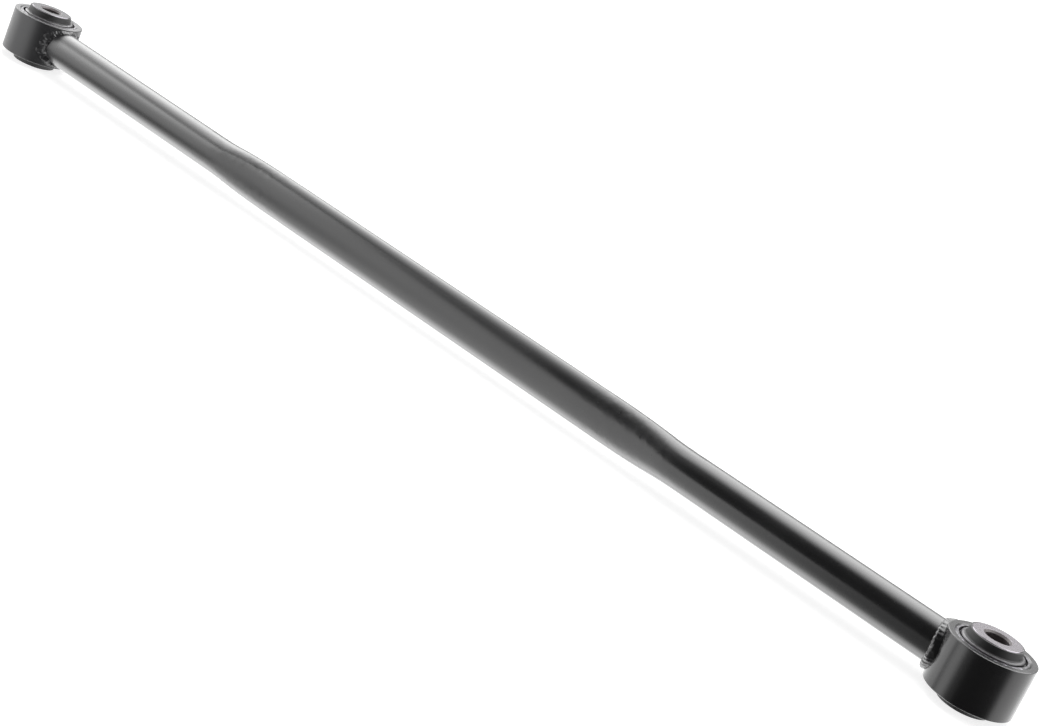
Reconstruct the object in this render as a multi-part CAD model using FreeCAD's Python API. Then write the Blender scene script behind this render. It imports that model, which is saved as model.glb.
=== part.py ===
import FreeCAD, Part
import math
import os
from FreeCAD import Placement, Rotation, Vector

# A panhard rod: one steel tube with an eye welded across each end, and a bonded rubber bush in each eye.
# Millimetres, +Z up. The rod lies along X, with the origin midway between its eyes, whose axes are along Z.
# Eye a is at -X and eye b at +X. Each end is modelled about its own bolt axis, as if it were the -X end
# with the tube on its +X side, and is then put in place.

# The rod
eye_spacing = 1000.0            # between the axes of the two mounting bolts

# The tube: drawn round, then pressed oval along its middle between two flat tools
tube_diameter = 30.0
tube_wall = 3.0
press_gap = 24.0                # what the tools close to, which is the oval's width
press_length = 368.0            # the stretch that is fully oval
press_run_out = 60.0            # from full oval to round, at each end of that stretch

# The bushes, built outwards from the bolt: a thick inner sleeve that it clamps, rubber, and a thin outer sleeve
bore_diameter = 16.4            # clearance for an M16 bolt
bore_chamfer = 1.4
inner_sleeve_wall = 8.8
inner_sleeve_length = 49.0
inner_sleeve_chamfer = 0.4
rubber_thickness = 6.0
outer_sleeve_wall = 2.0
outer_sleeve_recess = 0.2       # how far its ends lie below the eye's faces
outer_sleeve_chamfer = 0.6

# The eyes: cut lengths of thick tube, bored to the bushes
eye_wall = 5.0
eye_length = 36.0
eye_edge_round = 0.6
eye_mouth_chamfer = 0.8

# The rubber, from its inner edge outwards: a collar up the inner sleeve, a ledge with a rounded edge, then a
# round-bottomed groove
collar_recess = 0.5             # how far the collar's top lies below the inner sleeve's face
collar_top_thickness = 1.0
collar_foot_thickness = 1.8
collar_foot_round = 1.0
ledge_rise = 0.7                # the ledge stands this far above the eye's face
ledge_edge_round = 1.4
groove_width = 1.6
groove_depth = 4.1              # below the ledge

# The welds: a bulging fillet all round the tube, cut back near the eye's edges, where there is little wall to
# weld to. From its toe on the tube it rises over a steep shoulder to a flat crown, and runs out on the eye.
weld_tube_leg = 5.0             # along the top of the tube
weld_side_leg = 6.2             # across the eye, at the tube's sides
weld_top_leg = 2.0              # up the eye, above and below the tube
weld_shoulder_setback = 0.7     # the shoulder and the crown lie this far behind the toe on the tube,
weld_crown_setback = 2.8
weld_shoulder_share = 0.66      # and this share of the bead's whole height above the tube
weld_crown_share = 1.02
weld_ripple_pitch = 4.2         # between the ripples that the torch leaves
weld_ripple_heights = {"a": 0.42, "b": 0.28}

# What follows from them
tube_radius = tube_diameter / 2
bore_radius = bore_diameter / 2
inner_sleeve_radius = bore_radius + inner_sleeve_wall
rubber_outer_radius = inner_sleeve_radius + rubber_thickness
eye_bore_radius = rubber_outer_radius + outer_sleeve_wall
eye_radius = eye_bore_radius + eye_wall
outer_sleeve_length = eye_length - 2 * outer_sleeve_recess

# How finely the free-form skins are drawn
press_steps = 5                 # rows of the control net over a run-out
ripple_steps = 4                # columns of the control net over a ripple

axis_z = Vector(0, 0, 1)
axis_x = Vector(1, 0, 0)


def ring(outer_radius, inner_radius, length):
    """A plain ring about Z, centred on its middle plane."""
    base = Vector(0, 0, -length / 2)
    return Part.makeCylinder(outer_radius, length, base).cut(Part.makeCylinder(inner_radius, length, base))


def rims(shape, radius):
    """The circular edges of a ring that have this radius."""
    return [edge for edge in shape.Edges if abs(getattr(edge.Curve, "Radius", 0) - radius) < 1e-6]


def solid_inside(surface):
    """The solid inside a tubular surface whose two open ends are flat."""
    skin = surface.toShape()
    ends = [Part.Face(Part.Wire([edge])) for edge in skin.Edges if edge.isClosed() and edge.Length > 1e-3]
    shell = Part.Shell([skin] + ends)
    shell.sewShape()
    solid = Part.Solid(shell)
    if solid.Volume < 0:
        solid.reverse()
    return solid


def half_axes(share, inset):
    """Half the width and half the height of the tube's skin where the press has done this share of its work.
    Pressing keeps the length round the wall, so what the tube loses in width it gains in height."""
    half_width = tube_radius - share * (tube_radius - press_gap / 2)
    half_height = math.sqrt(2 * tube_radius ** 2 - half_width ** 2)
    return half_width - inset, half_height - inset


def run_out_rows():
    """(place along X, share of the full press) of each row of a run-out's control net, from oval to round.
    The first and last three rows are alike, so that the skin flows into the plain stretches beside it."""
    step = press_run_out / press_steps
    oval_end = press_length / 2
    rows = [(oval_end - 2 * step, 1.0), (oval_end - step, 1.0)]
    for i in range(press_steps + 1):
        # Coming from the oval, the metal leaves it slowly, and meets the round quickly at the tool's edge.
        rows.append((oval_end + i * step, 1 - (i / press_steps) ** 2))
    round_start = oval_end + press_run_out
    return rows + [(round_start + step, 0.0), (round_start + 2 * step, 0.0)]


def run_out_skin(inset):
    """A run-out's surface, whose every cross-section is an ellipse."""
    # Eight points and their weights go once round an exact circle of radius 1.
    corner = math.sqrt(2)
    reach = [corner if k % 2 else 1.0 for k in range(9)]
    circle = [(reach[k] * math.cos(k * math.pi / 4), reach[k] * math.sin(k * math.pi / 4)) for k in range(9)]
    weights = [1 / r for r in reach]
    poles = []
    for x, share in run_out_rows():
        half_width, half_height = half_axes(share, inset)
        poles.append([Vector(x, half_width * c, half_height * s) for c, s in circle])
    spans = len(poles) - 3
    surface = Part.BSplineSurface()
    surface.buildFromPolesMultsKnots(
        poles,
        [4] + [1] * (spans - 1) + [4],
        [3, 2, 2, 2, 3],
        list(range(spans + 1)),
        list(range(5)),
        False,
        False,
        3,
        2,
        [weights] * len(poles),
    )
    return surface


def make_bar(inset):
    """The solid inside the tube's outer surface, or inside its bore when inset is the wall."""
    oval_x = run_out_rows()[0][0]
    round_x = run_out_rows()[-1][0]
    half_width, half_height = half_axes(1.0, inset)
    ellipse = Part.Ellipse(Vector(-oval_x, 0, half_height), Vector(-oval_x, half_width, 0), Vector(-oval_x, 0, 0))
    bar = Part.Face(Part.Wire([ellipse.toShape()])).extrude(Vector(2 * oval_x, 0, 0))
    run_out = solid_inside(run_out_skin(inset))
    round_end = Part.makeCylinder(tube_radius - inset, eye_spacing / 2 - round_x, Vector(round_x, 0, 0), axis_x)
    pieces = [run_out, round_end]
    pieces += [piece.mirror(Vector(0, 0, 0), axis_x) for piece in pieces]
    return bar.fuse(pieces).removeSplitter()


def make_tube():
    """The pressed tube, hollow from end to end, with both ends coped to fit round the eyes."""
    tube = make_bar(0).cut(make_bar(tube_wall))
    for side in (-1, 1):
        base = Vector(side * eye_spacing / 2, 0, -tube_diameter)
        tube = tube.cut(Part.makeCylinder(eye_radius, 2 * tube_diameter, base))
    return tube


def make_eye():
    """A cut length of thick tube, its outer edges rounded and its mouths chamfered to lead the bush in."""
    eye = ring(eye_radius, eye_bore_radius, eye_length)
    eye = eye.makeFillet(eye_edge_round, rims(eye, eye_radius))
    return eye.makeChamfer(eye_mouth_chamfer, rims(eye, eye_bore_radius))


def make_outer_sleeve():
    """The bush's outer sleeve, a press fit in the eye."""
    sleeve = ring(eye_bore_radius, rubber_outer_radius, outer_sleeve_length)
    return sleeve.makeChamfer(outer_sleeve_chamfer, rims(sleeve, eye_bore_radius))


def make_inner_sleeve():
    """The bush's inner sleeve, whose ends stand proud so that the bracket clamps them and not the rubber."""
    sleeve = ring(inner_sleeve_radius, bore_radius, inner_sleeve_length)
    sleeve = sleeve.makeChamfer(inner_sleeve_chamfer, rims(sleeve, inner_sleeve_radius))
    return sleeve.makeChamfer(bore_chamfer, rims(sleeve, bore_radius))


def make_rubber():
    """The rubber between the sleeves: half of its section is turned about Z, and mirrored."""
    collar_top = inner_sleeve_length / 2 - collar_recess
    ledge = eye_length / 2 + ledge_rise
    groove_radius = groove_width / 2
    groove_middle = rubber_outer_radius - groove_radius
    groove_centre = ledge - groove_depth + groove_radius
    groove_inner = rubber_outer_radius - groove_width
    foot = inner_sleeve_radius + collar_foot_thickness
    foot_bend = collar_foot_round * (1 - math.sqrt(0.5))
    edge_bend = ledge_edge_round * (1 - math.sqrt(0.5))

    def at(radius, height):
        return Vector(radius, 0, height)

    outline = [
        Part.LineSegment(at(inner_sleeve_radius, 0), at(inner_sleeve_radius, collar_top)),
        Part.LineSegment(at(inner_sleeve_radius, collar_top), at(inner_sleeve_radius + collar_top_thickness, collar_top)),
        Part.LineSegment(at(inner_sleeve_radius + collar_top_thickness, collar_top), at(foot, ledge + collar_foot_round)),
        Part.Arc(
            at(foot, ledge + collar_foot_round),
            at(foot + foot_bend, ledge + foot_bend),
            at(foot + collar_foot_round, ledge),
        ),
        Part.LineSegment(at(foot + collar_foot_round, ledge), at(groove_inner - ledge_edge_round, ledge)),
        Part.Arc(
            at(groove_inner - ledge_edge_round, ledge),
            at(groove_inner - edge_bend, ledge - edge_bend),
            at(groove_inner, ledge - ledge_edge_round),
        ),
        Part.LineSegment(at(groove_inner, ledge - ledge_edge_round), at(groove_inner, groove_centre)),
        Part.Arc(
            at(groove_inner, groove_centre),
            at(groove_middle, groove_centre - groove_radius),
            at(rubber_outer_radius, groove_centre),
        ),
        Part.LineSegment(at(rubber_outer_radius, groove_centre), at(rubber_outer_radius, 0)),
        Part.LineSegment(at(rubber_outer_radius, 0), at(inner_sleeve_radius, 0)),
    ]
    section = Part.Face(Part.Wire([edge.toShape() for edge in outline]))
    upper = section.revolve(Vector(0, 0, 0), axis_z, 360)
    return upper.fuse(upper.mirror(Vector(0, 0, 0), axis_z)).removeSplitter()


def weld_row(angle, ripple):
    """One row of the bead's control net, (distance from the bolt axis along X, distance from the tube's axis),
    at an angle round the tube, where 0 is its side. It runs from inside the tube, over the bead, into the eye."""
    across = math.cos(angle)

    def on_cylinder(cylinder_radius, reach):
        """How far along X the cylinder about the bolt axis lies, at this reach from the tube's axis."""
        return math.sqrt(cylinder_radius ** 2 - (reach * across) ** 2)

    # The toe on the eye follows an oval with flattened sides, wide across the eye and low along it.
    side_reach = tube_radius + weld_side_leg
    top_reach = tube_radius + weld_top_leg
    eye_reach = (abs(across / side_reach) ** 4 + abs(math.sin(angle) / top_reach) ** 4) ** -0.25
    height = eye_reach - tube_radius
    tube_toe = (on_cylinder(eye_radius + weld_tube_leg, tube_radius), tube_radius)
    shoulder = (tube_toe[0] - weld_shoulder_setback, tube_radius + weld_shoulder_share * height + 0.5 * ripple)
    crown = (tube_toe[0] - weld_crown_setback, tube_radius + weld_crown_share * height + ripple)
    eye_toe = (on_cylinder(eye_radius, eye_reach), eye_reach)
    inner_reach = tube_radius / 2
    return [
        (eye_radius + 2 * weld_tube_leg, inner_reach),
        (tube_toe[0] + weld_tube_leg / 5, tube_radius - 1),
        tube_toe,
        shoulder,
        crown,
        eye_toe,
        (eye_toe[0] - 2, eye_reach + 0.5),
        (eye_radius / 3, inner_reach),
    ]


def make_weld(ripple_height):
    """The bead: a rippled skin closed round the joint, less what lies inside the tube and inside the eye."""
    ripples = round(math.pi * tube_diameter / weld_ripple_pitch)
    columns = ripples * ripple_steps
    poles = []
    for k in range(columns):
        angle = 2 * math.pi * k / columns
        # Each ripple rises slowly and drops quickly, and every few ripples the bead swells a little.
        phase = 2 * math.pi * k / ripple_steps
        ripple = ripple_height * (math.cos(phase) + 0.8 * math.sin(3 * angle + 1) + 0.5 * math.sin(5 * angle))
        row = weld_row(angle, ripple)
        poles.append([Vector(x, reach * math.cos(angle), reach * math.sin(angle)) for x, reach in row])
    spans = len(poles[0]) - 3
    surface = Part.BSplineSurface()
    surface.buildFromPolesMultsKnots(
        poles,
        [1] * (columns + 1),
        [4] + [1] * (spans - 1) + [4],
        list(range(columns + 1)),
        list(range(spans + 1)),
        True,
        False,
        3,
        3,
    )
    bead = solid_inside(surface)
    reach = 4 * eye_radius
    bead = bead.cut(Part.makeCylinder(tube_radius, reach, Vector(0, 0, 0), axis_x))
    bead = bead.cut(Part.makeCylinder(eye_radius, reach, Vector(0, 0, -reach / 2)))
    return max(bead.Solids, key=lambda solid: solid.Volume)


def place(shape, end):
    """Puts a piece that was modelled about its bolt axis at its own end of the rod."""
    turn = 0 if end == "a" else 180
    offset = -eye_spacing / 2 if end == "a" else eye_spacing / 2
    placed = shape.copy()
    placed.Placement = Placement(Vector(offset, 0, 0), Rotation(axis_z, turn))
    return placed


nodes = {"tube": make_tube()}
for end in ("a", "b"):
    nodes["eye_" + end] = place(make_eye(), end)
    nodes["weld_" + end] = place(make_weld(weld_ripple_heights[end]), end)
    nodes["bush_outer_sleeve_" + end] = place(make_outer_sleeve(), end)
    nodes["bush_rubber_" + end] = place(make_rubber(), end)
    nodes["bush_inner_sleeve_" + end] = place(make_inner_sleeve(), end)

os.makedirs("parts", exist_ok=True)
for name, shape in nodes.items():
    box = shape.BoundBox
    print(f"{name:22s} valid {shape.isValid()} solids {len(shape.Solids)} volume {shape.Volume:10.1f} mm3"
          f" x {box.XMin:.1f} to {box.XMax:.1f}, y {box.YMin:.1f} to {box.YMax:.1f}, z {box.ZMin:.1f} to {box.ZMax:.1f}")
    shape.exportStep(f"parts/{name}.step")
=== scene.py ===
# %% [markdown]
# # A panhard rod, dressed in Blender
# The rod is a steel tube with a welded eye and a rubber bush at each end. Its solids come ready made from
# the CAD model, in metres, with +X along the rod and +Z up along the bolt bores. This notebook gives them
# their finishes, adds what is too fine for the solids, and lights and frames them.

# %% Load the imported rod
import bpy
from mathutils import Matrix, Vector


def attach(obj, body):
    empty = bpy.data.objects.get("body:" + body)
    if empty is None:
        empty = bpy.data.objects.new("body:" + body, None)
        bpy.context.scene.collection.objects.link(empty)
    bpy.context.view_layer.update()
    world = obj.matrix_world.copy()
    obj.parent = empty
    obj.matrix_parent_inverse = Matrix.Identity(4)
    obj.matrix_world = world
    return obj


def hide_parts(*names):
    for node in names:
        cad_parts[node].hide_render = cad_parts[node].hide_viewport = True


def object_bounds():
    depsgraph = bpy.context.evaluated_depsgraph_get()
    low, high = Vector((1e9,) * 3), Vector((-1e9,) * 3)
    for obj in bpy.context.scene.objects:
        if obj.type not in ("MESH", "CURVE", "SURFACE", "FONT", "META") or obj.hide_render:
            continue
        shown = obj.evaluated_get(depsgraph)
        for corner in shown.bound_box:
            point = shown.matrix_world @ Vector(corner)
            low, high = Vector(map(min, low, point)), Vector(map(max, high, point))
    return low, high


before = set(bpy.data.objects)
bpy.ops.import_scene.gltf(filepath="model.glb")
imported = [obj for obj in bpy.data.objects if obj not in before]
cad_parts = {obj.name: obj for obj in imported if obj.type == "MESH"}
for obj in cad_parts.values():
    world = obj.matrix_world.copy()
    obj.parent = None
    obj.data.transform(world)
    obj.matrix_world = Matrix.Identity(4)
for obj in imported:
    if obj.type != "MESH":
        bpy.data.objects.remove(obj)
cad_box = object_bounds()
print("pieces from CAD:", sorted(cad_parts))
print("CAD box:", cad_box)

# %% [markdown]
# ## Helpers
# Every material is a small net of nodes. One function adds a node, fills its sockets and joins it to others,
# so that the cells below read as a list of what is mixed with what. Colours are written as sRGB hex values,
# as a paint chart gives them, and one function turns them into the linear numbers that shaders work in.

# %% Helpers for materials
import math

import bmesh
import bpy
from mathutils import Matrix, Vector, noise

MM = 0.001


def srgb(hex_value):
    """Turns an sRGB hex value, such as #808080, into a linear colour with alpha."""
    channels = [int(hex_value[i:i + 2], 16) / 255 for i in (1, 3, 5)]
    return [c / 12.92 if c <= 0.04045 else ((c + 0.055) / 1.055) ** 2.4 for c in channels] + [1.0]


def add(tree, kind, sockets=None, **settings):
    """Adds a node; each socket gets a value, or a link from another node's output."""
    node = tree.nodes.new("ShaderNode" + kind)
    for name, value in settings.items():
        setattr(node, name, value)
    for socket, value in (sockets or {}).items():
        if isinstance(value, bpy.types.NodeSocket):
            tree.links.new(value, node.inputs[socket])
        else:
            node.inputs[socket].default_value = value
    return node


def new_material(name):
    """Makes an empty node material and returns it with its tree and its output node."""
    material = bpy.data.materials.new(name)
    material.use_nodes = True
    material.node_tree.nodes.clear()
    return material, material.node_tree, add(material.node_tree, "OutputMaterial")


# %% [markdown]
# ## Camera
# The camera stands in front of the rod and to its right, a little above it, and is rolled so that the rod
# runs down the picture's diagonal. Its place, its focal length and its small shift were worked out from the
# outline of the rod, so they are given as measured numbers.

# %% Camera
CAMERA_PLACE = Vector((0.908221, -1.204909, 0.407950))
CAMERA_RIGHT = Vector((0.68939, 0.61465, 0.38335))
CAMERA_UP = Vector((-0.48017, -0.00850, 0.87714))
PICTURE_WIDTH, PICTURE_HEIGHT = 1044, 726
FOCAL_PIXELS = 2103.603
CENTRE_PIXEL = (486.368, 390.281)

camera_data = bpy.data.cameras.new("camera")
camera_data.sensor_width = 36
camera_data.lens = 36 * FOCAL_PIXELS / PICTURE_WIDTH
camera_data.shift_x = (PICTURE_WIDTH / 2 - CENTRE_PIXEL[0]) / PICTURE_WIDTH
camera_data.shift_y = (CENTRE_PIXEL[1] - PICTURE_HEIGHT / 2) / PICTURE_WIDTH
camera = bpy.data.objects.new("camera", camera_data)
bpy.context.scene.collection.objects.link(camera)
right = CAMERA_RIGHT.normalized()
back = right.cross(CAMERA_UP).normalized()
up = back.cross(right)
camera.matrix_world = Matrix((
    (right.x, up.x, back.x, CAMERA_PLACE.x),
    (right.y, up.y, back.y, CAMERA_PLACE.y),
    (right.z, up.z, back.z, CAMERA_PLACE.z),
    (0, 0, 0, 1)))
bpy.context.scene.camera = camera
print("lens:", round(camera_data.lens, 2), "mm")
print("shift:", round(camera_data.shift_x, 4), round(camera_data.shift_y, 4))

# %% [markdown]
# ## Studio
# Gloss black paint has almost no colour of its own: what the eye sees is the studio mirrored in it. Product
# shots of such parts are made in a tent of white cloth that is open towards the camera. The paint mirrors
# the cloth as soft grey bands and the dark opening as black, and that contrast is what shows its gloss.
# The world does the cloth, by direction: white behind, a bright glow from below, and dark at the opening.
# Diffuse rays get an even fill from it, so that colours render about as they are written.

# %% World: a tent of white cloth, open in front
view = bpy.context.scene.view_settings
view.view_transform = "Standard"
world = bpy.data.worlds.new("cloth_tent")
bpy.context.scene.world = world
world.use_nodes = True
world.cycles.sampling_method = "NONE"
tree = world.node_tree
tree.nodes.clear()

TENT_BACK = Vector((-0.342, 0.940, 0))
OPENING_EDGE = (-0.60, -0.30)
OPENING_LEAN = -0.35
OPENING_GLOW = 0.08
CLOTH_GLOW = 0.7
HIGH_CLOTH_GLOW = 5.5
HIGH_CLOTH_CLIMB = (0.34, 0.58)
LOW_CLOTH_GLOW = 2.2
LOW_CLOTH_HEIGHT = (0.08, -0.15)
UNDER_GLOW = 5.0
UNDER_SPREAD = 0.6
UNDER_DEPTH = (0.95, 1.2)
FILL = 0.5

direction = add(tree, "TexCoord").outputs["Generated"]
split = add(tree, "SeparateXYZ", {0: direction})
height = split.outputs["Z"]
steepness = add(tree, "Math", {0: height}, operation="ABSOLUTE").outputs[0]
towards_back = add(tree, "VectorMath", {0: direction, 1: TENT_BACK}, operation="DOT_PRODUCT").outputs["Value"]
facing = add(tree, "Math", {0: steepness, 1: OPENING_LEAN, 2: towards_back},
             operation="MULTIPLY_ADD").outputs[0]
cloth = add(tree, "MapRange", {"Value": facing, "From Min": OPENING_EDGE[0],
                               "From Max": OPENING_EDGE[1]},
            interpolation_type="SMOOTHSTEP").outputs[0]
across = add(tree, "CombineXYZ", {1: split.outputs["Y"], 2: height}).outputs[0]
across = add(tree, "VectorMath", {0: across}, operation="NORMALIZE").outputs[0]
climb = add(tree, "SeparateXYZ", {0: across}).outputs["Z"]
high = add(tree, "MapRange", {"Value": climb, "From Min": HIGH_CLOTH_CLIMB[0],
                              "From Max": HIGH_CLOTH_CLIMB[1],
                              "To Min": CLOTH_GLOW, "To Max": HIGH_CLOTH_GLOW},
           interpolation_type="SMOOTHSTEP").outputs[0]
walls = add(tree, "MapRange", {"Value": height, "From Min": LOW_CLOTH_HEIGHT[0],
                               "From Max": LOW_CLOTH_HEIGHT[1],
                               "To Min": high, "To Max": LOW_CLOTH_GLOW},
            interpolation_type="SMOOTHSTEP").outputs[0]
tent = add(tree, "MapRange", {"Value": cloth, "To Min": OPENING_GLOW, "To Max": walls}).outputs[0]
sideways = add(tree, "Math", {0: split.outputs["X"]}, operation="ABSOLUTE").outputs[0]
depth = add(tree, "Math", {0: height, 1: -1}, operation="MULTIPLY").outputs[0]
below = add(tree, "Math", {0: sideways, 1: UNDER_SPREAD, 2: depth}, operation="MULTIPLY_ADD").outputs[0]
under = add(tree, "MapRange", {"Value": below, "From Min": UNDER_DEPTH[0], "From Max": UNDER_DEPTH[1],
                               "To Max": UNDER_GLOW},
            interpolation_type="SMOOTHSTEP").outputs[0]
mirrored = add(tree, "Math", {0: tent, 1: under}, operation="MAXIMUM").outputs[0]
rays = add(tree, "LightPath").outputs
seen = add(tree, "Math", {0: rays["Is Camera Ray"], 1: rays["Is Transmission Ray"]},
           operation="MAXIMUM").outputs[0]
unseen = add(tree, "Mix", {0: rays["Is Glossy Ray"], 2: FILL, 3: mirrored}).outputs[0]
strength = add(tree, "Mix", {0: seen, 2: unseen, 3: 1.0}).outputs[0]
background = add(tree, "Background", {"Color": (1, 1, 1, 1), "Strength": strength})
add(tree, "OutputWorld", {"Surface": background.outputs[0]})

# %% [markdown]
# Two sheets of the tent's cloth hang at real distances, because the bands that they draw slide along the
# tube from one end to the other, and light at infinity would not do that. One is the wing in front on the
# left, with its slanting edge and a hot spot where a lamp stands behind it. The other is the roof, which
# gets brighter towards the back. Only gloss shows them. The rod itself is lit by a plain soft lamp overhead.


# %% Sheets of cloth
def cloth_sheet(name, corners):
    """Hangs a glowing sheet that only mirrored rays see; returns its tree, place and emission node."""
    mesh = bpy.data.meshes.new(name)
    mesh.from_pydata(corners, [], [range(len(corners))])
    sheet_object = bpy.data.objects.new(name, mesh)
    bpy.context.scene.collection.objects.link(sheet_object)
    sheet_object.visible_camera = False
    sheet_object.visible_diffuse = False
    sheet_object.visible_shadow = False
    sheet_object.visible_transmission = False
    material, tree, output = new_material(name)
    mesh.materials.append(material)
    place = add(tree, "SeparateXYZ", {0: add(tree, "NewGeometry").outputs["Position"]}).outputs
    emission = add(tree, "Emission", {"Color": (1, 1, 1, 1)})
    tree.links.new(emission.outputs[0], output.inputs["Surface"])
    return tree, place, emission


WING_Y = -1.16
WING_GLOW = 2.6
HOT_SPOT = (-2.6, 1.2)
SPOT_GLOW = 4.2
SPOT_REACH = (1.7, 0.2)
FOLD_START = (-1.15, -0.34)
FOLD_END = (-2.2, -1.2)
FOLD_RUN_IN = (-0.35, 0.75)
FOLD_WIDTH = 0.5
FOLD_DEPTH = 0.8
FADING_LEAN = -0.2
FADING_EDGE = (-0.31, 0.09)
FADED = 0.15
wing_outline = [(0.3, -2.4), (0.3, -0.1), (-0.38, 0.1), (-2.9, 2.75), (-5.0, 2.75), (-5.0, -2.4)]
tree, place, emission = cloth_sheet("front_wing", [(x, WING_Y, z) for x, z in wing_outline])
on_wing = add(tree, "CombineXYZ", {0: place["X"], 2: place["Z"]}).outputs[0]
from_spot = add(tree, "VectorMath", {0: on_wing, 1: (HOT_SPOT[0], 0, HOT_SPOT[1])},
                operation="DISTANCE").outputs["Value"]
lit = add(tree, "MapRange", {"Value": from_spot, "From Min": SPOT_REACH[0], "From Max": SPOT_REACH[1],
                             "To Min": WING_GLOW, "To Max": WING_GLOW + SPOT_GLOW},
          interpolation_type="SMOOTHSTEP").outputs[0]
fold_line = Vector((FOLD_END[0] - FOLD_START[0], 0, FOLD_END[1] - FOLD_START[1])).normalized()
fold_across = Vector((fold_line.z, 0, -fold_line.x))
from_start = add(tree, "VectorMath", {0: on_wing, 1: (FOLD_START[0], 0, FOLD_START[1])},
                 operation="SUBTRACT").outputs[0]
off_fold = add(tree, "VectorMath", {0: from_start, 1: fold_across},
               operation="DOT_PRODUCT").outputs["Value"]
off_fold = add(tree, "Math", {0: off_fold}, operation="ABSOLUTE").outputs[0]
along_fold = add(tree, "VectorMath", {0: from_start, 1: fold_line},
                 operation="DOT_PRODUCT").outputs["Value"]
fold_depth = add(tree, "MapRange", {"Value": along_fold, "From Min": FOLD_RUN_IN[0],
                                    "From Max": FOLD_RUN_IN[1], "To Max": FOLD_DEPTH}).outputs[0]
fold_shade = add(tree, "MapRange", {"Value": off_fold, "From Max": FOLD_WIDTH,
                                    "To Min": fold_depth, "To Max": 0.0},
                 interpolation_type="SMOOTHSTEP").outputs[0]
folded = add(tree, "Math", {0: 1.0, 1: fold_shade}, operation="SUBTRACT").outputs[0]
lean = add(tree, "Math", {0: place["Z"], 1: FADING_LEAN, 2: place["X"]}, operation="MULTIPLY_ADD").outputs[0]
fading = add(tree, "MapRange", {"Value": lean, "From Min": FADING_EDGE[0], "From Max": FADING_EDGE[1],
                                "To Min": 1.0, "To Max": FADED},
             interpolation_type="SMOOTHSTEP").outputs[0]
shaded = add(tree, "Math", {0: folded, 1: fading}, operation="MULTIPLY").outputs[0]
wing_glow = add(tree, "Math", {0: lit, 1: shaded}, operation="MULTIPLY").outputs[0]
tree.links.new(wing_glow, emission.inputs["Strength"])

# %% The roof, brighter towards the back
ROOF_Z = 1.45
ROOF_CORNER = (-2.5, -1.1, ROOF_Z)
CORNER_GLOW = 4.0
roof_corners = [(-5, -1.1, ROOF_Z), (1.2, -1.1, ROOF_Z), (1.2, 1.3, ROOF_Z), (-5, 1.3, ROOF_Z)]
tree, place, emission = cloth_sheet("roof", roof_corners)
left_roof = add(tree, "MapRange", {"Value": place["Y"], "From Min": -1.3, "From Max": 0.8,
                                   "To Min": 0.6, "To Max": 6.3},
                interpolation_type="SMOOTHSTEP").outputs[0]
right_roof = add(tree, "MapRange", {"Value": place["Y"], "From Min": -0.7, "From Max": 0.5,
                                    "To Min": 0.1, "To Max": 8.2},
                 interpolation_type="SMOOTHSTEP").outputs[0]
to_right = add(tree, "MapRange", {"Value": place["X"], "From Min": -0.75, "From Max": -0.5},
               interpolation_type="SMOOTHSTEP").outputs[0]
roof_glow = add(tree, "Mix", {0: to_right, 2: left_roof, 3: right_roof}).outputs[0]
shade = add(tree, "MapRange", {"Value": place["X"], "From Min": -1.6, "From Max": -1.25,
                               "To Min": 1.0, "To Max": 0.84},
            interpolation_type="SMOOTHSTEP").outputs[0]
roof_glow = add(tree, "Math", {0: roof_glow, 1: shade}, operation="MULTIPLY").outputs[0]
on_roof = add(tree, "NewGeometry").outputs["Position"]
from_corner = add(tree, "VectorMath", {0: on_roof, 1: ROOF_CORNER}, operation="DISTANCE").outputs["Value"]
corner_glow = add(tree, "MapRange", {"Value": from_corner, "From Min": 0.9, "From Max": 0.2,
                                     "To Max": CORNER_GLOW},
                  interpolation_type="SMOOTHSTEP").outputs[0]
roof_glow = add(tree, "Math", {0: roof_glow, 1: corner_glow}, operation="ADD").outputs[0]
tree.links.new(roof_glow, emission.inputs["Strength"])

# %% Overhead lamp
LAMP_SIZE = 1.6
LAMP_GLOW = 2.2
LAMP_PLACE = Vector((-0.3, 0.3, 1.4))
lamp = bpy.data.lights.new("overhead_lamp", "AREA")
lamp.shape = "SQUARE"
lamp.size = LAMP_SIZE
lamp.energy = LAMP_GLOW * math.pi * LAMP_SIZE ** 2
lamp_object = bpy.data.objects.new("overhead_lamp", lamp)
lamp_object.location = LAMP_PLACE
lamp_object.rotation_euler = LAMP_PLACE.to_track_quat("Z", "Y").to_euler()
lamp_object.visible_glossy = False
lamp_object.visible_camera = False
bpy.context.scene.collection.objects.link(lamp_object)
print("overhead lamp:", round(lamp.energy, 1), "W")

# %% [markdown]
# ## Floor
# The floor is a plain pale sheet just under the bushes. It is lit by the overhead lamp and glows a little,
# so that it stays white out to the edge of the picture but keeps the rod's soft shadow near it. Only the
# camera sees the sheet itself: mirrored rays pass it and meet the tent's own glow from below.

# %% Floor
FLOOR_REACH = 40
floor_height = cad_box[0][2]
floor_mesh = bpy.data.meshes.new("floor")
square = ((-1, -1), (1, -1), (1, 1), (-1, 1))
floor_corners = [(x * FLOOR_REACH, y * FLOOR_REACH, floor_height) for x, y in square]
floor_mesh.from_pydata(floor_corners, [], [(0, 1, 2, 3)])
floor = bpy.data.objects.new("floor", floor_mesh)
bpy.context.scene.collection.objects.link(floor)
pale_sheet, tree, output = new_material("pale_sheet")
floor_mesh.materials.append(pale_sheet)
position = add(tree, "NewGeometry").outputs["Position"]
split = add(tree, "SeparateXYZ", {0: position})
from_rod = add(tree, "Math", {0: split.outputs["Y"]}, operation="ABSOLUTE").outputs[0]
glow = add(tree, "MapRange", {"Value": from_rod, "From Min": 0.05, "From Max": 0.6,
                              "To Min": 0.80, "To Max": 1.0},
           interpolation_type="SMOOTHSTEP").outputs[0]
shine = add(tree, "Emission", {"Color": (1, 1, 1, 1), "Strength": glow})
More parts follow.
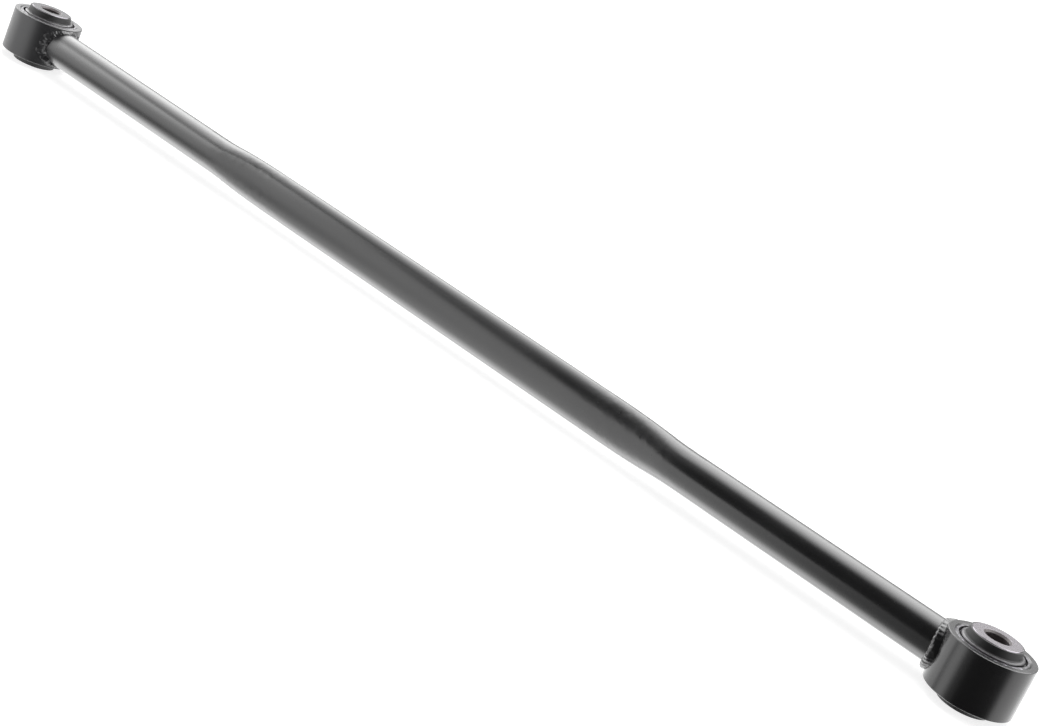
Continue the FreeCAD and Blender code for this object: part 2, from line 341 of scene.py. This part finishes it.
sheet = add(tree, "BsdfDiffuse", {"Color": srgb("#bcbcbc")})
both = add(tree, "AddShader", {0: shine.outputs[0], 1: sheet.outputs[0]})
clear = add(tree, "BsdfTransparent", {"Color": (1, 1, 1, 1)})
rays = add(tree, "LightPath").outputs
shown = add(tree, "MixShader", {0: rays["Is Camera Ray"], 1: clear.outputs[0], 2: both.outputs[0]})
tree.links.new(shown.outputs[0], output.inputs["Surface"])

# %% [markdown]
# ## Gloss black enamel
# The tube, the eyes and the welds were dipped or sprayed together after welding, in a gloss black enamel.
# Stoved enamel has an IOR near 1.5 and a skin that is smooth but not a mirror: it has a faint orange peel,
# a few millimetres from bump to bump, and dust that was caught as it dried. One material covers all five
# pieces, because one coat of paint does. The coat is duller on the far eye than elsewhere, and its colour
# there is painted greyer, as painted light that lifts the eye's dark reflections.

# %% Gloss black enamel
enamel, tree, output = new_material("gloss_black_enamel")
place = add(tree, "TexCoord").outputs["Object"]
PEEL_PITCH = 3.0 * MM
DUST_PITCH = 9.0 * MM
CLOUD_SIZE = 60 * MM
peel = add(tree, "TexNoise", {"Vector": place, "Scale": 1 / PEEL_PITCH, "Detail": 2.0, "Roughness": 0.4})
dust = add(tree, "TexVoronoi", {"Vector": place, "Scale": 1 / DUST_PITCH, "Randomness": 1.0})
dust_dot = add(tree, "MapRange", {"Value": dust.outputs["Distance"], "From Min": 0.045, "From Max": 0.02})
cloud = add(tree, "TexNoise", {"Vector": place, "Scale": 1 / CLOUD_SIZE, "Detail": 3.0})
tone = add(tree, "Mix", {0: cloud.outputs[0], 6: srgb("#0f0f10"), 7: srgb("#151516")}, data_type="RGBA")
dust_and_painted_light = add(tree, "Mix", {0: dust_dot.outputs[0], 6: tone.outputs[2], 7: srgb("#3a3a3c")}, data_type="RGBA")
skin = add(tree, "MapRange", {"Value": cloud.outputs[0], "From Min": 0.3, "From Max": 0.7,
                              "To Min": 0.21, "To Max": 0.27})

# The far eye gets a rougher skin and a greyer colour; the greyer colour is painted light that lifts its dark
# reflections.
FAR_EYE_FROM, FAR_EYE_TO = -0.455, -0.475
DULLER_BY = 0.16
along = add(tree, "SeparateXYZ", {0: place}).outputs["X"]
dull_and_painted_light = add(tree, "MapRange", {"Value": along, "From Min": FAR_EYE_FROM, "From Max": FAR_EYE_TO}).outputs[0]
dull_skin = add(tree, "Math", {0: dull_and_painted_light, 1: DULLER_BY, 2: skin.outputs[0]},
                operation="MULTIPLY_ADD").outputs[0]
dust_and_painted_light = add(tree, "Mix", {0: dull_and_painted_light, 6: dust_and_painted_light.outputs[2], 7: srgb("#222224")}, data_type="RGBA")
peel_bump = add(tree, "Bump", {"Height": peel.outputs[0], "Strength": 0.25, "Distance": 0.03 * MM})
dust_bump = add(tree, "Bump", {"Height": dust_dot.outputs[0], "Normal": peel_bump.outputs[0],
                               "Strength": 0.5, "Distance": 0.05 * MM})
paint = add(tree, "BsdfPrincipled", {"Base Color": dust_and_painted_light.outputs[2], "Roughness": dull_skin,
                                     "IOR": 1.52, "Normal": dust_bump.outputs[0]})
tree.links.new(paint.outputs[0], output.inputs["Surface"])

# %% [markdown]
# ## Moulded rubber
# The bush's rubber is moulded and bonded between its two steel sleeves. It is carbon black rubber: very
# dark, matt, with the fine grain of the mould and a little bloom that greys it. The ledge round each bush
# stands proud, so its crest is rubbed smoother than the collar inside it. The crest is also painted grey in
# patches, as a painted highlight of the bright cloth that it mirrors.

# %% Distance from the bolt axis, for both ends at once
def bolt_radius(tree, place):
    """Gives a point's distance from the nearer bolt axis, and its height, as sockets."""
    split = add(tree, "SeparateXYZ", {0: place})
    along = add(tree, "Math", {0: split.outputs["X"]}, operation="ABSOLUTE").outputs[0]
    from_axis = add(tree, "Math", {0: along, 1: 0.5}, operation="SUBTRACT").outputs[0]
    flat = add(tree, "CombineXYZ", {0: from_axis, 1: split.outputs["Y"]}).outputs[0]
    radius = add(tree, "VectorMath", {0: flat}, operation="LENGTH").outputs["Value"]
    height = add(tree, "Math", {0: split.outputs["Z"]}, operation="ABSOLUTE").outputs[0]
    return radius, height


# %% Moulded rubber
rubber, tree, output = new_material("moulded_black_rubber")
place = add(tree, "TexCoord").outputs["Object"]
GRAIN = 0.5 * MM
BLOOM_SIZE = 6 * MM
CREST_RADIUS = (19.4 * MM, 20.0 * MM)
grain = add(tree, "TexNoise", {"Vector": place, "Scale": 1 / GRAIN, "Detail": 4.0, "Roughness": 0.6})
bloom = add(tree, "TexNoise", {"Vector": place, "Scale": 1 / BLOOM_SIZE, "Detail": 3.0})
tone = add(tree, "Mix", {0: bloom.outputs[0], 6: srgb("#0b0b0c"), 7: srgb("#151516")}, data_type="RGBA")
radius = bolt_radius(tree, place)[0]
# Painted highlight: patches of the ledge's crest are mixed towards grey, for the bright cloth that the crest
# mirrors; the crest is also made smoother.
crest = add(tree, "MapRange", {"Value": radius, "From Min": CREST_RADIUS[0],
                               "From Max": CREST_RADIUS[1]}).outputs[0]
highlight_patches = add(tree, "MapRange", {"Value": bloom.outputs[0], "From Min": 0.35, "From Max": 0.6}).outputs[0]
wear_and_highlight = add(tree, "Math", {0: crest, 1: highlight_patches}, operation="MULTIPLY").outputs[0]
tone = add(tree, "Mix", {0: wear_and_highlight, 6: tone.outputs[2], 7: srgb("#4a484c")}, data_type="RGBA")
skin = add(tree, "MapRange", {"Value": crest, "To Min": 0.60, "To Max": 0.28}).outputs[0]
bump = add(tree, "Bump", {"Height": grain.outputs[0], "Strength": 0.6, "Distance": 0.10 * MM})
matt = add(tree, "BsdfPrincipled", {"Base Color": tone.outputs[2], "Roughness": skin, "IOR": 1.5,
                                    "Specular IOR Level": 0.45, "Normal": bump.outputs[0]})
tree.links.new(matt.outputs[0], output.inputs["Surface"])

# %% [markdown]
# ## Bush sleeves
# The outer sleeve is thin steel tube, blackened with the rest and rubbed bare on its rim. The inner sleeve is
# thick tube, sawn or parted off to length: its faces are bare, light grey and finely scored in circles, and
# its bore is left dull and a little brown. The face of the far one is painted darker, as painted shade, and
# the outer edge of each face is painted darker, as painted shade that dims its highlight.

# %% Outer sleeve: blackened steel, rubbed bare on the rim
RIM_HEIGHT = (16.8 * MM, 17.2 * MM)
PATCH_SIZE = 2.5 * MM
outer_steel, tree, output = new_material("blackened_steel_rubbed_rim")
place = add(tree, "TexCoord").outputs["Object"]
radius, height = bolt_radius(tree, place)
rim = add(tree, "MapRange", {"Value": height, "From Min": RIM_HEIGHT[0], "From Max": RIM_HEIGHT[1]}).outputs[0]
patches = add(tree, "TexNoise", {"Vector": place, "Scale": 1 / PATCH_SIZE, "Detail": 4.0}).outputs[0]
wear_and_highlight = add(tree, "MapRange", {"Value": patches, "From Min": 0.42, "From Max": 0.58}).outputs[0]
bare = add(tree, "Math", {0: rim, 1: wear_and_highlight}, operation="MULTIPLY").outputs[0]
tone = add(tree, "Mix", {0: bare, 6: srgb("#1a1a1b"), 7: srgb("#6f6d72")}, data_type="RGBA")
bump = add(tree, "Bump", {"Height": patches, "Strength": 0.4, "Distance": 0.05 * MM})
steel = add(tree, "BsdfPrincipled", {"Base Color": tone.outputs[2], "Metallic": bare, "Roughness": 0.3,
                                     "Normal": bump.outputs[0]})
tree.links.new(steel.outputs[0], output.inputs["Surface"])

# %% Inner sleeve: parted steel faces, dull bore
SCORE_PITCH = 0.45 * MM
GRIT_SIZE = 0.6 * MM
BORE_EDGE = (9.7 * MM, 9.4 * MM)
FACE_EDGE = (16.5 * MM, 16.7 * MM)
inner_steel, tree, output = new_material("parted_steel")
place = add(tree, "TexCoord").outputs["Object"]
radius = bolt_radius(tree, place)[0]
in_bore = add(tree, "MapRange", {"Value": radius, "From Min": BORE_EDGE[0], "From Max": BORE_EDGE[1]}).outputs[0]
grit = add(tree, "TexNoise", {"Vector": place, "Scale": 1 / GRIT_SIZE, "Detail": 5.0, "Roughness": 0.7})
grit = grit.outputs[0]
turns = add(tree, "Math", {0: radius, 1: 2 * math.pi / SCORE_PITCH}, operation="MULTIPLY").outputs[0]
scores = add(tree, "Math", {0: turns}, operation="SINE").outputs[0]
score_height = add(tree, "Math", {0: scores, 1: 0.35, 2: grit}, operation="MULTIPLY_ADD").outputs[0]
face_tone = add(tree, "Mix", {0: grit, 6: srgb("#a19ba2"), 7: srgb("#bdb9bd")}, data_type="RGBA")
along = add(tree, "SeparateXYZ", {0: place}).outputs["X"]
# Painted shade: the face of the far sleeve is mixed towards a darker grey.
far_face_shade = add(tree, "MapRange", {"Value": along, "From Min": 0.1, "From Max": -0.1}).outputs[0]
far_face_shaded_tone = add(tree, "Mix", {0: grit, 6: srgb("#6a696c"), 7: srgb("#8e8d90")}, data_type="RGBA")
face_tone = add(tree, "Mix", {0: far_face_shade, 6: face_tone.outputs[2], 7: far_face_shaded_tone.outputs[2]},
                data_type="RGBA")
tone = add(tree, "Mix", {0: in_bore, 6: face_tone.outputs[2], 7: srgb("#3f3839")}, data_type="RGBA")
# Painted shade: the outer edge of each face is darkened, dimming its highlight.
face_edge_shade = add(tree, "MapRange", {"Value": radius, "From Min": FACE_EDGE[0],
                                    "From Max": FACE_EDGE[1]}).outputs[0]
tone = add(tree, "Mix", {0: face_edge_shade, 6: tone.outputs[2], 7: srgb("#6b686d")}, data_type="RGBA")
bare = add(tree, "Math", {0: 1.0, 1: in_bore}, operation="SUBTRACT").outputs[0]
rough = add(tree, "MapRange", {"Value": in_bore, "To Min": 0.15, "To Max": 0.5}).outputs[0]
bump = add(tree, "Bump", {"Height": score_height, "Strength": 0.10, "Distance": 0.03 * MM})
steel = add(tree, "BsdfPrincipled", {"Base Color": tone.outputs[2], "Metallic": bare, "Roughness": rough,
                                     "Normal": bump.outputs[0]})
tree.links.new(steel.outputs[0], output.inputs["Surface"])

# %% Dress the CAD pieces
finishes = {
    "tube": enamel, "eye": enamel, "weld": enamel,
    "bush_outer_sleeve": outer_steel, "bush_rubber": rubber, "bush_inner_sleeve": inner_steel,
}
for name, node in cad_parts.items():
    finish = finishes[name.removesuffix("_a").removesuffix("_b")]
    for slot in node.material_slots:
        slot.material = finish
    print(name, "->", finish.name)

# %% [markdown]
# ## Weld beads
# A fillet weld joins the tube to each eye in one pass round the tube. The real bead is a frozen pool: fine
# curved ripples follow each other a few millimetres apart, the legs wander, and there are lumps where the
# torch paused. Ripples could be painted as bump, but a bead shows against the eye and the tube, so it is
# real: a cross-section is swept round the saddle line where the tube meets the eye, and its skin is pushed
# in and out. Both edges of the bead dive under the paint of the tube and the eye, so no gap can show. These
# beads stand for the plainer weld solids.
#
# Each cross-section is a curve from the toe on the tube to the toe on the eye, drawn towards two points: the
# shoulder and the brow. A bead's form gives both, as shares of its height and of its length along the tube.
# The far bead runs almost straight from toe to toe, and the near one has a steep shoulder and a flat crown.

# %% Measures of a weld bead
TUBE_RADIUS = 15 * MM
EYE_RADIUS = 30 * MM
EYE_PLACE = 500 * MM
BEAD_STEPS = 540
BEAD_ROWS = 34
RIPPLE_PITCH = 2.3 * MM
RIPPLE_CURVE = 2.6
LUMP_PITCH = 4.6 * MM
GRAIN_PITCH = 1.3 * MM
WANDER = 0.22
BURIED = 0.35 * MM


def eased(low, high, share):
    """Blends two measures by a share from 0 to 1."""
    return low + (high - low) * share


def relief(place, s, turn, bead):
    """Gives the height of the bead's skin, in metres: ripples, lumps and a fine unevenness."""
    seed = bead["seed"]
    ripples = round(2 * math.pi * TUBE_RADIUS / RIPPLE_PITCH)
    curved = RIPPLE_CURVE * (2 * s - 1) ** 2
    wave = math.cos(ripples * turn + curved + 2.0 * noise.noise(place * 90 + seed))
    lumps = noise.noise(place / LUMP_PITCH + seed)
    fine = noise.noise(place / GRAIN_PITCH - seed)
    return bead["ripples"] * wave + bead["lumps"] * lumps + bead["grain"] * fine


def bead_section(turn, bead):
    """Gives one cross-section of the bead, as a closed loop of points."""
    side, seed = bead["side"], bead["seed"]
    sideness = abs(math.cos(turn)) ** 1.5
    ring = Vector((0, math.cos(turn), math.sin(turn)))
    wander = 1 + WANDER * noise.noise(ring * 2.3 + seed)
    tube_leg = eased(bead["tube_top"], bead["tube_side"], sideness) * wander
    eye_leg = eased(bead["eye_top"], bead["eye_side"], sideness) * (2 - wander)
    bulge = eased(bead["bulge_top"], bead["bulge_side"], sideness)

    def on_wall(radius, depth):
        """Finds the point of the eye's wall that is this far from the tube's axis."""
        reach = math.sqrt((EYE_RADIUS - depth) ** 2 - (radius * ring.y) ** 2)
        return ring * radius + Vector((side * (EYE_PLACE - reach), 0, 0))

    root = on_wall(TUBE_RADIUS, 0)
    tube_toe = root - Vector((side * tube_leg, 0, 0)) - ring * BURIED
    eye_toe = on_wall(TUBE_RADIUS + eye_leg, BURIED)
    out = (ring - Vector((side, 0, 0))).normalized()
    length = Vector((eye_toe.x - tube_toe.x, 0, 0))
    shoulder, brow = [tube_toe + ring * (rise * eye_leg) + length * setback for rise, setback in bead["form"]]
    loop = []
    for row in range(BEAD_ROWS + 1):
        s = row / BEAD_ROWS
        toe_side = tube_toe.lerp(shoulder, s).lerp(shoulder.lerp(brow, s), s)
        eye_side = shoulder.lerp(brow, s).lerp(brow.lerp(eye_toe, s), s)
        point = toe_side.lerp(eye_side, s)
        crown = 4 * s * (1 - s)
        height = bulge * crown + relief(point, s, turn, bead) * min(1, 2.2 * crown)
        loop.append(point + out * height)
    loop.append(on_wall(TUBE_RADIUS + 0.5 * eye_leg, 2.5 * MM))
    loop.append(on_wall(TUBE_RADIUS - 1.5 * MM, 1.0 * MM))
    loop.append(tube_toe - ring * 1.0 * MM + Vector((side * 0.3 * tube_leg, 0, 0)))
    return loop


# %% Sweep both beads
BEADS = {
    "weld_bead_a": {"node": "weld_a", "side": -1, "seed": Vector((3.1, 7.7, 1.9)),
                    "tube_top": 3.0 * MM, "tube_side": 1.7 * MM, "eye_top": 2.1 * MM, "eye_side": 6.6 * MM,
                    "bulge_top": 0.6 * MM, "bulge_side": 0.5 * MM, "form": ((0.33, 0.33), (0.67, 0.67)),
                    "ripples": 0.07 * MM, "lumps": 1.25 * MM, "grain": 0.14 * MM},
    "weld_bead_b": {"node": "weld_b", "side": 1, "seed": Vector((8.3, 2.2, 5.4)),
                    "tube_top": 4.2 * MM, "tube_side": 3.6 * MM, "eye_top": 2.0 * MM, "eye_side": 6.2 * MM,
                    "bulge_top": 0.0 * MM, "bulge_side": 0.0 * MM, "form": ((1.40, -0.03), (1.26, 0.40)),
                    "ripples": 0.14 * MM, "lumps": 0.50 * MM, "grain": 0.09 * MM},
}
for name, bead in BEADS.items():
    work = bmesh.new()
    rings = []
    for step in range(BEAD_STEPS):
        section = bead_section(2 * math.pi * step / BEAD_STEPS, bead)
        rings.append([work.verts.new(point) for point in section])
    around = len(rings[0])
    for step in range(BEAD_STEPS):
        here, there = rings[step], rings[(step + 1) % BEAD_STEPS]
        for row in range(around):
            beyond = (row + 1) % around
            work.faces.new((here[row], there[row], there[beyond], here[beyond]))
    bmesh.ops.recalc_face_normals(work, faces=work.faces)
    mesh = bpy.data.meshes.new(name)
    work.to_mesh(mesh)
    work.free()
    mesh.shade_smooth()
    mesh.materials.append(enamel)
    bead_object = bpy.data.objects.new(name, mesh)
    bpy.context.scene.collection.objects.link(bead_object)
    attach(bead_object, "root")
    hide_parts(bead["node"])
    print(name, "faces:", len(mesh.polygons))
